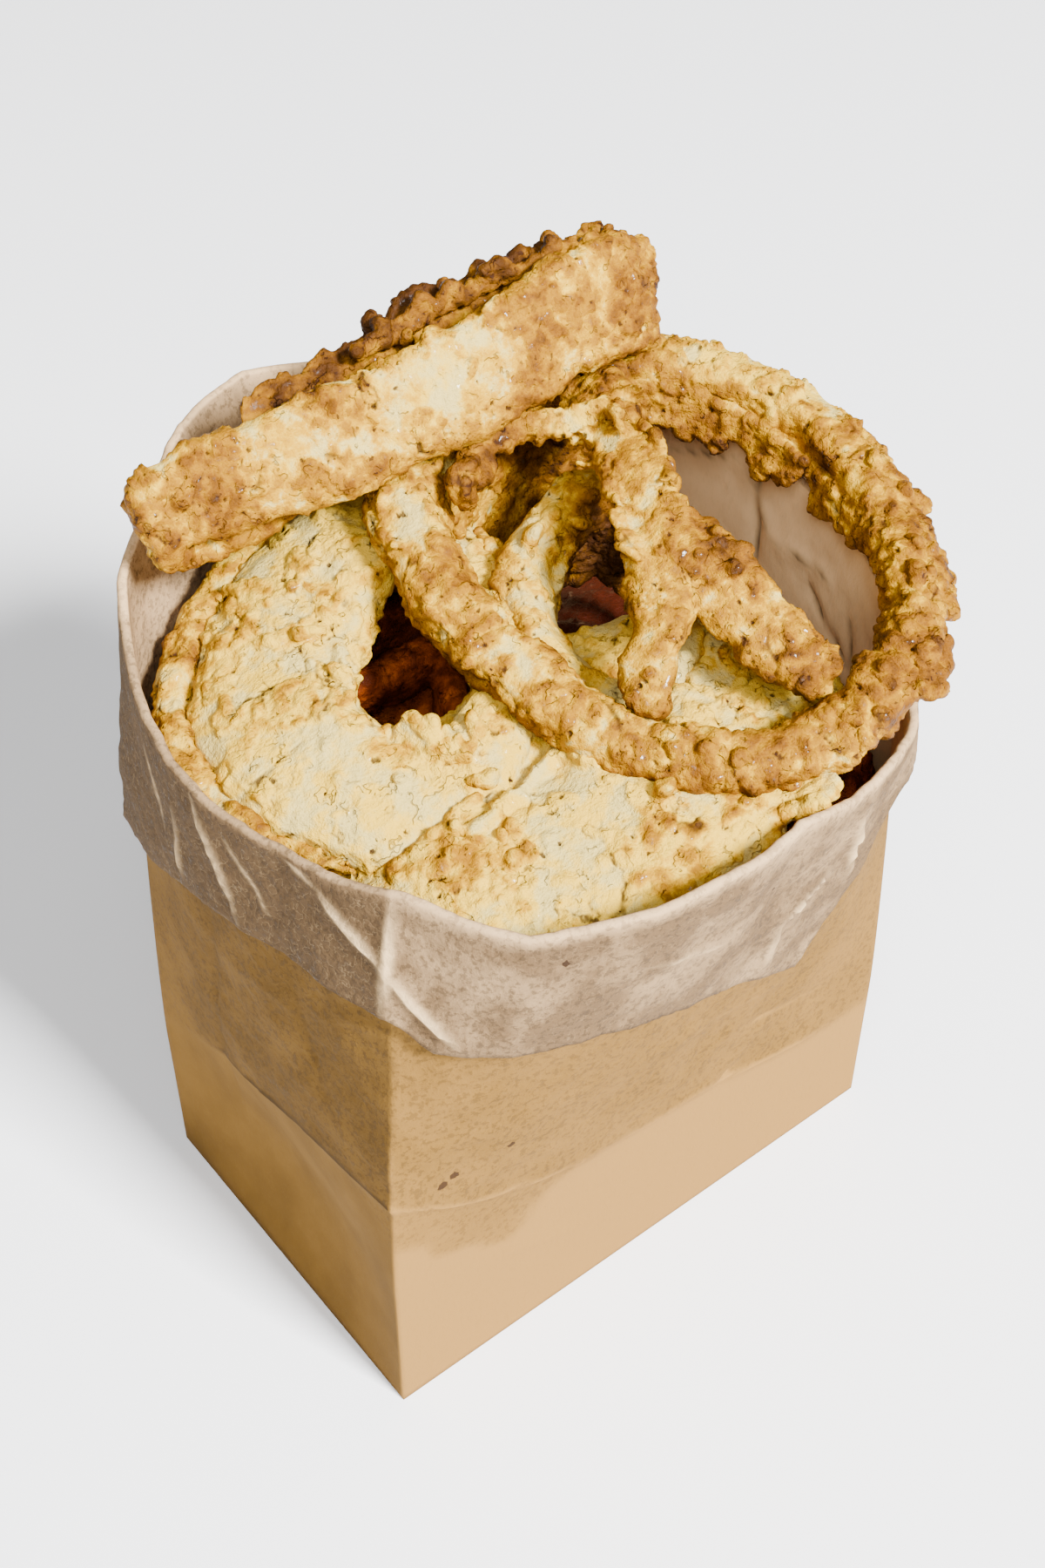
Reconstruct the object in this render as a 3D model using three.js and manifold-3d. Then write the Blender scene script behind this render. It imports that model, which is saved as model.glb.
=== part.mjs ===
// A small kraft paper bag with its mouth folded down into a cuff, filled with fried onion rings.
// Millimetres, +Z up. The origin is the centre of the bag's base, with X along the base's long side.

import * as THREE from 'three';
import Module from 'manifold-3d';

const wasm = await Module();
wasm.setup();

// ---------------------------------------------------------------- driving dimensions

const BASE_LENGTH = 115; // the block bottom, along X
const BASE_WIDTH = 75; // the block bottom, along Y
const PAPER = 1; // two plies and the glue between them
const FLOOR = 1.6; // the folded bottom
const BLOCK_HEIGHT = 35; // the wall is square up to here, then it rounds towards the rim
const ROUNDING = 1.3; // how late the wall takes up the rim's round outline
const FOLD_GAP = 1.2; // between wall and cuff, just under the rim
const CUFF_FLARE = 1.8; // what that gap gains down to the cuff's edge
const SIDE_DENT = 5; // how far the left side is pushed in, low down
const SIDE_DENT_HEIGHT = 26;
const SIDE_DENT_FOOT = 8; // below this height the dent dies out, so that the base stays square
const LEFT_SIDE = 3; // the side from -X +Y to -X -Y, counted from the corner at -X -Y
const CREST_DROP = 0.6; // how far the fold's shoulders lie below its crest
const FOLD_DEPTH = 3; // from the crest down to where the fold parts into wall and cuff
const FOLD_STEP = 0.4; // the wall's top row lies this far under the end of the gap
const INNER_DROP = 2; // from the crest down to the top row of the inner face
const LONG_SIDE_STEPS = 16;
const SHORT_SIDE_STEPS = 11;
const WALL_STEPS = 8;
const CUFF_STEPS = 3;

// The rim of the mouth, as [angle in degrees from +X, distance from the axis, height].
const RIM = [
  [-167, 57, 128],
  [-145, 58, 130],
  [-127, 62, 128],
  [-103, 60, 129],
  [-80, 56, 126],
  [-67, 58, 121],
  [-46, 64, 120],
  [-33, 64, 123],
  [-10, 62, 131],
  [10, 61, 136],
  [33, 62, 141],
  [60, 61, 146],
  [85, 62, 148],
  [98, 66, 150],
  [113, 64, 150],
  [127, 61.5, 146],
  [141, 63.5, 142],
  [156, 62, 133],
  [171, 60, 130],
];

// The lower edge of the cuff, as [angle in degrees from +X, height].
const CUFF_EDGE = [
  [-182, 105],
  [-165, 107],
  [-147, 106],
  [-139, 99],
  [-113, 96],
  [-87, 83],
  [-67, 71],
  [-58, 84],
  [-50, 104],
  [-20, 104],
  [40, 108],
  [90, 110],
  [125, 104],
  [147, 94],
  [161, 98],
];

const REST_GAP = 0.3; // left between pieces that lie on each other
const SMOOTHED = 0.14; // detail finer than this is dropped after a cut
const LUMP = 0.9; // height of the batter's lumps
const LUMP_SIZE = 8; // distance between them
const RAGGED = 1.5; // how far a band's edge wanders
const SQUARENESS = 0.7; // of a band's section: 1 is an ellipse and 0 a rectangle
const SLIGHT_TURN = 0.01; // radians either side, to find which way a ring runs
const COLOURS = { paper: 0xc8a77a, ring: 0xe0c080, strand: 0xe6cc8c, heap: 0xc98a3c };
const ROUGHNESS = { paper: 0.85, crust: 0.7 };

// Each ring of onion is a band round an oval. centre is the middle of the oval, [azimuth, tilt]
// in face is the way its open side looks, long and short are the oval's half lengths to the
// middle of the band, and turn is the angle from level, in the oval's plane, of its long axis.
// band is the width along the ring's axis, wall its thickness and cone the slope of the band, as
// a slice from near the end of an onion has. waves holds [order, in the plane, along the axis,
// phase in degrees], and steps counts the places along the ring and round its section.
const RINGS = {
  ring_large: {
    centre: [27.5, -3.5, 136.5],
    face: [-110, 14],
    long: 44,
    short: 37.5,
    turn: -57,
    band: 10,
    wall: 11,
    cone: 15,
    swell: [0.2, 175],
    waves: [[2, 0, 1.5, 30], [3, 1.2, 1, 80]],
    steps: [54, 12],
  },
  ring_top: {
    centre: [1, 33, 157.5],
    face: [99, 29],
    long: 46,
    short: 5.2,
    turn: -16,
    band: 18,
    wall: 5.2,
    cone: 0,
    swell: [0.12, 180],
    waves: [[2, 0, 0.8, 0], [3, 0.8, 1.2, 40]],
    steps: [54, 12],
  },
  ring_left: {
    centre: [-19, 10, 126],
    face: [-128, 12],
    long: 26,
    short: 19,
    turn: 90,
    band: 9,
    wall: 20,
    cone: 12,
    swell: [0.4, 90],
    waves: [[2, 0.5, 1, 0], [3, 1, 1.5, 20]],
    steps: [44, 12],
  },
  ring_inner: {
    centre: [19.5, 1, 126.5],
    face: [-128, 20],
    long: 20,
    short: 13.5,
    turn: 90,
    band: 12,
    wall: 7,
    cone: 20,
    swell: [0.3, 110],
    waves: [[2, 0, 1, 0], [3, 1, 1, 60]],
    steps: [36, 10],
  },
  ring_front: {
    centre: [-4, -18.5, 117.5],
    face: [180, 8],
    long: 36,
    short: 18,
    turn: 90,
    band: 8,
    wall: 23,
    cone: 12,
    swell: [0.5, -90],
    waves: [[2, 0.5, 1.5, 0], [4, 0.8, 1, 30]],
    steps: [38, 10],
  },
  ring_far_left: {
    centre: [-22, 13, 121],
    face: [-128, 12],
    long: 33,
    short: 31,
    turn: 90,
    band: 12,
    wall: 7,
    cone: 10,
    waves: [[3, 1, 1, 0]],
    steps: [32, 9],
  },
};

// Rings lower down, which show through the others and are fused to the heap.
const LOWER_RINGS = [
  {
    centre: [-14, 2, 104],
    face: [-60, 18],
    long: 32,
    short: 24,
    turn: 40,
    band: 16,
    wall: 7,
    cone: 10,
    waves: [[3, 1, 1, 0]],
    steps: [24, 8],
  },
  {
    centre: [18, -6, 102],
    face: [30, 12],
    long: 30,
    short: 24,
    turn: 10,
    band: 14,
    wall: 7,
    cone: 10,
    waves: [[2, 1, 1, 50]],
    steps: [24, 8],
  },
  {
    centre: [-6, 35, 113],
    face: [-90, 18],
    long: 34,
    short: 13,
    turn: 0,
    band: 14,
    wall: 7,
    cone: 10,
    waves: [[2, 1, 1, 0]],
    steps: [22, 8],
  },
];
const HEAP_CLEARANCE = 2.5; // between the heap and the bag's inner face
const HEAP_TOP = 98;
const HEAP_STEPS = 4;
const HEAP_SHARES = [0.8, 0.5, 0.25]; // its top is built of rows at these shares of its outline
const HEAP_RISE = 3; // of the middle over the edge, and of its lumps
const HEAP_LUMP_SIZE = 16;

// The torn ring that lies across the large one: two strands that part halfway down. Each is a
// list of [x, y, z, width, thickness].
const STRANDS = [
  [
    [36, 27, 149, 10, 6],
    [26, 4, 149, 11, 6],
    [22, -9, 146, 11, 6],
    [16, -16, 141, 11, 6],
    [9, -22, 136, 9, 6],
    [3, -27, 131, 8, 5],
  ],
  [
    [24, -8, 145, 8, 5],
    [24, -19, 142, 14, 5],
    [26, -29, 137, 13, 5],
    [29, -40, 132, 7, 4],
  ],
];
const STRAND_FACE = [-143, 30];
const STRAND_STEPS = [24, 8];
const STRAND_TIP = 1; // how far an end's point stands out
const SEEDS = { edge: 7, strand: 10, lowerRing: 20, heap: 3 }; // so that no two pieces are alike

// ---------------------------------------------------------------- small helpers

const radians = THREE.MathUtils.degToRad;

const mix = (from, to, share) => from + (to - from) * share;

// Reads column of a table of [angle, value, ...] rows at an angle, going round the circle.
function around(table, column, angle) {
  const turn = (a) => THREE.MathUtils.euclideanModulo(a, 360);
  const rows = [...table].sort((a, b) => turn(a[0]) - turn(b[0]));
  const at = turn(angle);
  const next = rows.findIndex((row) => turn(row[0]) > at);
  const after = rows[next < 0 ? 0 : next];
  const before = rows[(next < 0 ? rows.length : next + rows.length - 1) % rows.length] ?? rows.at(-1);
  const span = turn(after[0] - before[0]) || 360;
  return mix(before[column], after[column], turn(at - before[0]) / span);
}

// A repeatable value between -1 and 1 for a corner of the noise lattice.
function latticeValue(x, y, z, seed) {
  const wave = Math.sin(x * 127.1 + y * 311.7 + z * 74.7 + seed * 53.3) * 43758.5453;
  return 2 * (wave - Math.floor(wave)) - 1;
}

// Smooth noise between about -1 and 1, with one lump every `size` millimetres.
function noise(point, size, seed) {
  const cell = point.clone().divideScalar(size);
  const corner = cell.clone().floor();
  const part = cell.sub(corner);
  const ease = (t) => t * t * (3 - 2 * t);
  let sum = 0;
  for (let bits = 0; bits < 8; bits += 1) {
    const step = [bits & 1, (bits >> 1) & 1, (bits >> 2) & 1];
    const weight = step.reduce((w, s, axis) => {
      const share = ease(part.getComponent(axis));
      return w * (s ? share : 1 - share);
    }, 1);
    sum += weight * latticeValue(corner.x + step[0], corner.y + step[1], corner.z + step[2], seed);
  }
  return sum;
}

// A geometry of rows of points, each row closed round; a row of one point closes an end.
function skin(rows, closedBothWays = false) {
  const points = rows.flat();
  const starts = rows.map((_, i) => rows.slice(0, i).reduce((n, row) => n + row.length, 0));
  const faces = [];
  const last = closedBothWays ? rows.length : rows.length - 1;
  for (let i = 0; i < last; i += 1) {
    const low = rows[i];
    const high = rows[(i + 1) % rows.length];
    const a = starts[i];
    const b = starts[(i + 1) % rows.length];
    const count = Math.max(low.length, high.length);
    for (let j = 0; j < count; j += 1) {
      const k = (j + 1) % count;
      if (low.length > 1) faces.push(a + k, a + j, high.length > 1 ? b + k : b);
      if (high.length > 1) faces.push(low.length > 1 ? a + j : a, b + j, b + k);
    }
  }
  const geometry = new THREE.BufferGeometry().setFromPoints(points);
  geometry.setIndex(faces);
  return geometry;
}

const toSolid = (geometry) => new wasm.Manifold(new wasm.Mesh({
  numProp: 3,
  vertProperties: new Float32Array(geometry.attributes.position.array),
  triVerts: new Uint32Array(geometry.index.array),
}));

function toGeometry(solid) {
  const mesh = solid.getMesh();
  const geometry = new THREE.BufferGeometry();
  geometry.setAttribute('position', new THREE.BufferAttribute(new Float32Array(mesh.vertProperties), 3));
  geometry.setIndex(new THREE.BufferAttribute(new Uint32Array(mesh.triVerts), 1));
  return geometry;
}

// The biggest body of a solid: what a cut leaves loose beside it is dropped.
function mainBody(solid) {
  const bodies = solid.simplify(SMOOTHED).decompose();
  return bodies.sort((a, b) => b.volume() - a.volume())[0];
}

// ---------------------------------------------------------------- the bag

// The places round the bag, from the corner at -X -Y anticlockwise: where each stands on the
// base, and at which angle it reaches the rim.
function bagPlaces() {
  const corners = [[-1, -1], [1, -1], [1, 1], [-1, 1]].map(([x, y]) => (
    new THREE.Vector2(x * BASE_LENGTH / 2, y * BASE_WIDTH / 2)));
  const places = [];
  corners.forEach((corner, side) => {
    const next = corners[(side + 1) % 4];
    const steps = side % 2 ? SHORT_SIDE_STEPS : LONG_SIDE_STEPS;
    const start = THREE.MathUtils.radToDeg(corner.angle());
    const sweep = THREE.MathUtils.euclideanModulo(THREE.MathUtils.radToDeg(next.angle()) - start, 360);
    for (let i = 0; i < steps; i += 1) {
      const share = i / steps;
      places.push({ base: corner.clone().lerp(next, share), angle: start + sweep * share, side, share });
    }
  });
  return places;
}

// A point of the wall's outer face at one place round the bag, moved out by `out`.
function wallPoint(place, height, out = 0) {
  const rimHeight = around(RIM, 2, place.angle);
  const rimRadius = around(RIM, 1, place.angle);
  const rise = THREE.MathUtils.clamp((height - BLOCK_HEIGHT) / (rimHeight - BLOCK_HEIGHT), 0, 1);
  const rim = new THREE.Vector2(rimRadius, 0).rotateAround(new THREE.Vector2(), radians(place.angle));
  const point = place.base.clone().lerp(rim, rise ** ROUNDING);
  if (place.side === LEFT_SIDE) {
    const middle = Math.sin(Math.PI * place.share);
    const level = Math.exp(-2 * (height / SIDE_DENT_HEIGHT - 1) ** 2);
    point.x += SIDE_DENT * middle * level * Math.min(1, height / SIDE_DENT_FOOT);
  }
  const length = point.length();
  point.multiplyScalar((length + out) / length);
  return new THREE.Vector3(point.x, point.y, height);
}

// The whole bag as one skin: up the inside, over the rim, down the cuff and back up behind it,
// down the outside, and across the bottom. `extra` is room added inside, over and outside it.
function bagGeometry(extra = 0) {
  const places = bagPlaces();
  const row = (point) => places.map(point);
  const rimAt = (place) => around(RIM, 2, place.angle);
  const inside = -(PAPER + extra);
  const floor = FLOOR + extra;
  const crestWidth = FOLD_GAP + PAPER;
  const crest = [[-PAPER / 2, -CREST_DROP], [crestWidth / 2, 0], [crestWidth + extra, -CREST_DROP]];

  // A row down the cuff, `depth` outside the gap between cuff and wall.
  const cuffRow = (share, depth) => row((place) => {
    const height = mix(rimAt(place) - FOLD_DEPTH, around(CUFF_EDGE, 1, place.angle), share);
    return wallPoint(place, height, FOLD_GAP + CUFF_FLARE * share + depth);
  });
  // A row of the wall, at a share of the way up from `foot` to `drop` below the rim.
  const wallRow = (share, foot, drop, out) => row((place) => (
    wallPoint(place, mix(foot, rimAt(place) - drop, share), out)));

  const rows = [[new THREE.Vector3(0, 0, floor)]];
  for (let i = 0; i <= WALL_STEPS; i += 1) {
    rows.push(wallRow(i / WALL_STEPS, floor, INNER_DROP, inside));
  }
  crest.forEach(([out, up]) => {
    rows.push(row((place) => wallPoint(place, rimAt(place) + up + extra, out)));
  });
  for (let i = 0; i <= CUFF_STEPS; i += 1) rows.push(cuffRow(i / CUFF_STEPS, PAPER + extra));
  for (let i = CUFF_STEPS; i >= 0; i -= 1) rows.push(cuffRow(i / CUFF_STEPS, 0));
  const gapEnd = FOLD_DEPTH + FOLD_STEP;
  for (let i = WALL_STEPS; i >= 0; i -= 1) rows.push(wallRow(i / WALL_STEPS, 0, gapEnd, 0));
  rows.push([new THREE.Vector3(0, 0, 0)]);
  return skin(rows);
}

// ---------------------------------------------------------------- the onion rings

const UP = new THREE.Vector3(0, 0, 1);
const SIDEWAYS = new THREE.Vector3(0, 1, 0);

// The direction that looks up, tilted towards an azimuth.
function facing([azimuth, tilt]) {
  return UP.clone().applyAxisAngle(SIDEWAYS, radians(tilt)).applyAxisAngle(UP, radians(azimuth));
}

// One row of points round a band's section, with lumps of batter and ragged edges.
function sectionRow(spot, size, seed, extra) {
  const { middle, outward, axis } = spot;
  const { width, thickness, cone, round } = size;
  const slope = radians(cone);
  const wallWay = outward.clone().multiplyScalar(Math.cos(slope)).addScaledVector(axis, -Math.sin(slope));
  const bandWay = axis.clone().multiplyScalar(Math.cos(slope)).addScaledVector(outward, Math.sin(slope));
  const square = (value) => Math.sign(value) * Math.abs(value) ** SQUARENESS;
  const flat = width > thickness;
  const row = [];
  for (let j = 0; j < round; j += 1) {
    const angle = 2 * Math.PI * j / round;
    const side = square(Math.cos(angle));
    const height = square(Math.sin(angle));
    const point = middle.clone()
      .addScaledVector(wallWay, side * thickness / 2)
      .addScaledVector(bandWay, height * width / 2);
    const lump = LUMP * noise(point, LUMP_SIZE, seed);
    const stretch = RAGGED * noise(point, LUMP_SIZE / 2, seed + SEEDS.edge);
    const away = point.clone().sub(middle).normalize();
    point.addScaledVector(away, lump + extra);
    point.addScaledVector(flat ? bandWay : wallWay, stretch * (flat ? height : side));
    row.push(point);
  }
  return row;
}

// A closed ring. `extra` grows its section on all sides.
function ringGeometry(ring, seed, extra = 0) {
  const axis = facing(ring.face);
  const level = SIDEWAYS.clone().applyAxisAngle(UP, radians(ring.face[0]));
  const u = level.applyAxisAngle(axis, radians(ring.turn));
  const v = new THREE.Vector3().crossVectors(axis, u);
  const centre = new THREE.Vector3(...ring.centre);
  const [along, round] = ring.steps;
  const line = (turn) => {
    let grow = 0;
    let lift = 0;
    ring.waves.forEach(([order, inPlane, axial, phase]) => {
      grow += inPlane * Math.cos(order * turn + radians(phase));
      lift += axial * Math.sin(order * turn + radians(phase));
    });
    return centre.clone()
      .addScaledVector(u, (ring.long + grow) * Math.cos(turn))
      .addScaledVector(v, (ring.short + grow) * Math.sin(turn))
      .addScaledVector(axis, lift);
  };
  const [swelling, swollenAt] = ring.swell ?? [0, 0];
  const rows = [];
  for (let i = 0; i < along; i += 1) {
    const turn = 2 * Math.PI * i / along;
    const middle = line(turn);
    const ahead = line(turn + SLIGHT_TURN).sub(line(turn - SLIGHT_TURN));
    const outward = new THREE.Vector3().crossVectors(ahead, axis).normalize();
    const swollen = 1 + swelling * Math.cos(turn - radians(swollenAt));
    const width = ring.band * swollen;
    const thickness = ring.wall * swollen;
    const size = { width, thickness, cone: ring.cone, round };
    rows.push(sectionRow({ middle, outward, axis }, size, seed, extra));
  }
  return skin(rows, true);
}

// An open strand along a smooth line, flat side facing STRAND_FACE, with closed ends.
function strandGeometry(stations, seed, extra = 0) {
  const axis = facing(STRAND_FACE);
  const curve = new THREE.CatmullRomCurve3(stations.map(([x, y, z]) => new THREE.Vector3(x, y, z)));
  const [along, round] = STRAND_STEPS;
  const rows = [];
  for (let i = 0; i <= along; i += 1) {
    const share = i / along;
    const middle = curve.getPoint(share);
    const outward = new THREE.Vector3().crossVectors(curve.getTangent(share), axis).normalize();
    const reached = share * (stations.length - 1);
    const before = Math.min(Math.floor(reached), stations.length - 2);
    const [, , , breadthBefore, depthBefore] = stations[before];
    const [, , , breadthAfter, depthAfter] = stations[before + 1];
    const thickness = mix(breadthBefore, breadthAfter, reached - before);
    const width = mix(depthBefore, depthAfter, reached - before);
    rows.push(sectionRow({ middle, outward, axis }, { width, thickness, cone: 0, round }, seed, extra));
  }
  // The point that closes an end, STRAND_TIP beyond the middle of its row.
  const tip = (row, share, way) => {
    const middle = new THREE.Box3().setFromPoints(row).getCenter(new THREE.Vector3());
    return [middle.addScaledVector(curve.getTangent(share), STRAND_TIP * way)];
  };
  return skin([tip(rows[0], 0, -1), ...rows, tip(rows.at(-1), 1, 1)]);
}

// The rings below the ones that lie on top: a core as wide as the bag, with rings fused on it.
function heapSolid() {
  const places = bagPlaces().filter((_, i) => i % 2 === 0);
  const rows = [[new THREE.Vector3(0, 0, FLOOR + REST_GAP)]];
  for (let i = 0; i <= HEAP_STEPS; i += 1) {
    const height = mix(FLOOR + REST_GAP, HEAP_TOP, i / HEAP_STEPS);
    rows.push(places.map((place) => wallPoint(place, height, -PAPER - HEAP_CLEARANCE)));
  }
  const rim = rows.at(-1);
  HEAP_SHARES.forEach((share) => {
    rows.push(rim.map((point) => {
      const spot = new THREE.Vector3(point.x * share, point.y * share, HEAP_TOP);
      spot.z += HEAP_RISE * (1 - share + noise(spot, HEAP_LUMP_SIZE, SEEDS.heap));
      return spot;
    }));
  });
  rows.push([new THREE.Vector3(0, 0, HEAP_TOP + HEAP_RISE)]);
  const core = toSolid(skin(rows.reverse()));
  return LOWER_RINGS.reduce((whole, ring, i) => (
    whole.add(toSolid(ringGeometry(ring, SEEDS.lowerRing + i)))), core);
}

// ---------------------------------------------------------------- the model

const group = new THREE.Group();
const placed = [];

// Adds a piece cut back to REST_GAP from what is already there, then keeps its grown form as the
// room that the next ones leave.
function addPiece(name, solid, room, colour, roughness) {
  const clear = placed.reduce((left, other) => left.subtract(other), solid);
  const geometry = toGeometry(mainBody(clear));
  geometry.computeVertexNormals();
  const material = new THREE.MeshStandardMaterial({ color: colour, roughness, metalness: 0 });
  const mesh = new THREE.Mesh(geometry, material);
  mesh.name = name;
  group.add(mesh);
  placed.push(room);
}

const bag = (extra) => toSolid(bagGeometry(extra));
const tornRing = (extra) => STRANDS
  .map((stations, i) => toSolid(strandGeometry(stations, SEEDS.strand + i, extra)))
  .reduce((whole, solid) => whole.add(solid));
const { paper, crust } = ROUGHNESS;

addPiece('bag', bag(0), bag(REST_GAP), COLOURS.paper, paper);
Object.entries(RINGS).forEach(([name, ring], seed) => {
  const solid = toSolid(ringGeometry(ring, seed));
  addPiece(name, solid, toSolid(ringGeometry(ring, seed, REST_GAP)), COLOURS.ring, crust);
  if (name === 'ring_top') {
    addPiece('ring_torn', tornRing(0), tornRing(REST_GAP), COLOURS.strand, crust);
  }
});
const heap = heapSolid();
addPiece('heap', heap, heap, COLOURS.heap, crust);

export default group;
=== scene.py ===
"""Fried onion rings heaped in a small kraft paper bag: the finish of every surface."""

import itertools
import math
import random

import bmesh
import bpy
import numpy as np
from bpy.props import FloatProperty, FloatVectorProperty, PointerProperty
from mathutils import Matrix, Vector
from mathutils.bvhtree import BVHTree


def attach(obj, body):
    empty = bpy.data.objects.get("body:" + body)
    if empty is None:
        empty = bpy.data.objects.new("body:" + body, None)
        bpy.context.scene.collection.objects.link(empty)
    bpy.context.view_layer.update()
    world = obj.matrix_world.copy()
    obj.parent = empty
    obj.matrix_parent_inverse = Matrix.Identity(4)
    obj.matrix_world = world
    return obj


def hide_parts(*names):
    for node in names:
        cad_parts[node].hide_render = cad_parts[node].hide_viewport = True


bl_info = {
    "name": "Onion Rings Side",
    "version": (1, 0, 0),
    "blender": (4, 5, 0),
    "location": "3D View > Sidebar > Onion Rings",
    "description": "Fried onion rings in a kraft paper bag with a folded-down cuff",
    "category": "Object",
}

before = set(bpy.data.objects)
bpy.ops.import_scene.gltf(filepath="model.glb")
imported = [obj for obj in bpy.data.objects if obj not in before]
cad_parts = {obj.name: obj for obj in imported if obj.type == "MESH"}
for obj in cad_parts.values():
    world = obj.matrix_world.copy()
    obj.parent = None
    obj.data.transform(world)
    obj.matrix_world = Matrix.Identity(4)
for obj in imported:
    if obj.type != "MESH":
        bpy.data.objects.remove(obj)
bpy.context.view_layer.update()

MM = 0.001

# ------------------------------------------------------------------ the bag's outline, in millimetres

# The rim of the mouth, as (angle in degrees from +X, distance from the axis, height).
RIM = [
    (-167, 57, 128), (-145, 58, 130), (-127, 62, 128), (-103, 60, 129), (-80, 56, 126),
    (-67, 58, 121), (-46, 64, 120), (-33, 64, 123), (-10, 62, 131), (10, 61, 136),
    (33, 62, 141), (60, 61, 146), (85, 62, 148), (98, 66, 150), (113, 64, 150),
    (127, 61.5, 146), (141, 63.5, 142), (156, 62, 133), (171, 60, 130),
]  # fmt: skip

# The lower edge of the cuff, as (angle, height).
CUFF_EDGE = [
    (-182, 105), (-165, 107), (-147, 106), (-139, 99), (-113, 96), (-87, 83), (-67, 71),
    (-58, 84), (-50, 104), (-20, 104), (40, 108), (90, 110), (125, 104), (147, 94), (161, 98),
]  # fmt: skip

# The crease left round the body by its flat fold, as (angle, height). Below it the paper is smooth.
FLAT_FOLD = [
    (-180, 54), (-169, 57), (-147, 59.6), (-137, 50.7), (-125, 44.4), (-111, 40.2), (-66, 36),
    (-42, 30.3), (-33, 30), (30, 34), (90, 40), (147, 40), (162, 48),
]  # fmt: skip

# Creases as (angle, height) at both ends, how far they stand out, and their half width. One that
# is negative is pressed in.
WALL_CREASES = [
    ((8.5, 140), (6.5, 98), 1.6, 1.1),
    ((-5, 114), (-11.2, 106.8), 1.3, 0.9),
    ((-11.2, 106.8), (-18, 102), 1.5, 0.9),
    ((-16.1, 114), (-18.4, 102), 1.3, 0.9),
    ((27, 126), (11, 131), -0.9, 1.2),
    ((11, 131), (4, 117.6), -0.8, 1.2),
    ((4, 117.6), (-14, 118), -0.9, 1.2),
    ((40, 138), (22, 112), -0.9, 1.6),
    ((172, 95), (161.5, 30), -0.9, 1.2),
    ((-168, 99), (-159, 66), -0.8, 2.2),
    ((-65.7, 35.6), (-60.8, 37.5), -1.2, 1.1),
    ((-64.3, 51.8), (-41.5, 45), -0.9, 2.0),
    ((-100, 68), (-52, 60), 0.5, 2.2),
    ((-140, 30), (-110, 16), 0.35, 1.6),
    ((90, 100), (75, 50), -0.9, 1.6),
    ((35, 90), (100, 62), 0.7, 1.8),
    ((120, 92), (140, 60), -0.8, 1.8),
]
CUFF_CREASES = [
    ((-171, 129), (-159, 124.7), 0.9, 0.8),
    ((-159, 124.7), (-147.3, 116), 1.3, 0.8),
    ((-147.3, 116), (-137, 100.5), 1.5, 0.8),
    ((-146.3, 130), (-147.6, 106), 1.1, 0.7),
    ((175, 130), (-174.4, 106), 0.9, 1.0),
    ((-178, 124), (-168, 112), -0.7, 1.0),
    ((170, 121), (171, 104), 0.8, 0.8),
    ((160, 126), (166, 110), -0.7, 0.9),
    ((-73, 79), (-74, 94), 1.2, 0.9),
    ((-74, 94), (-64, 100), 1.2, 0.9),
    ((-62, 112), (-56, 92), 1.5, 0.9),
    ((-110, 112), (-92, 104), 0.6, 1.4),
    ((20, 130), (32, 112), 1.4, 1.0),
    ((70, 140), (60, 112), 1.5, 1.0),
    ((110, 142), (122, 110), 1.7, 1.0),
    ((-30, 118), (-12, 108), 1.4, 1.0),
]

# Dark specks in the pulp, as (angle, height, radius).
WALL_SPECKS = [(-130.6, 64.5, 1.9), (-140.6, 60.3, 2.2), (-139.6, 60.9, 2.2), (-100, 88, 1.4)]
CUFF_SPECKS = [(-81.2, 109, 1.7), (-122.7, 120.6, 1.7), (-105, 101, 1.2), (100, 120, 1.6)]

# ------------------------------------------------------------------ the rings

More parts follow.
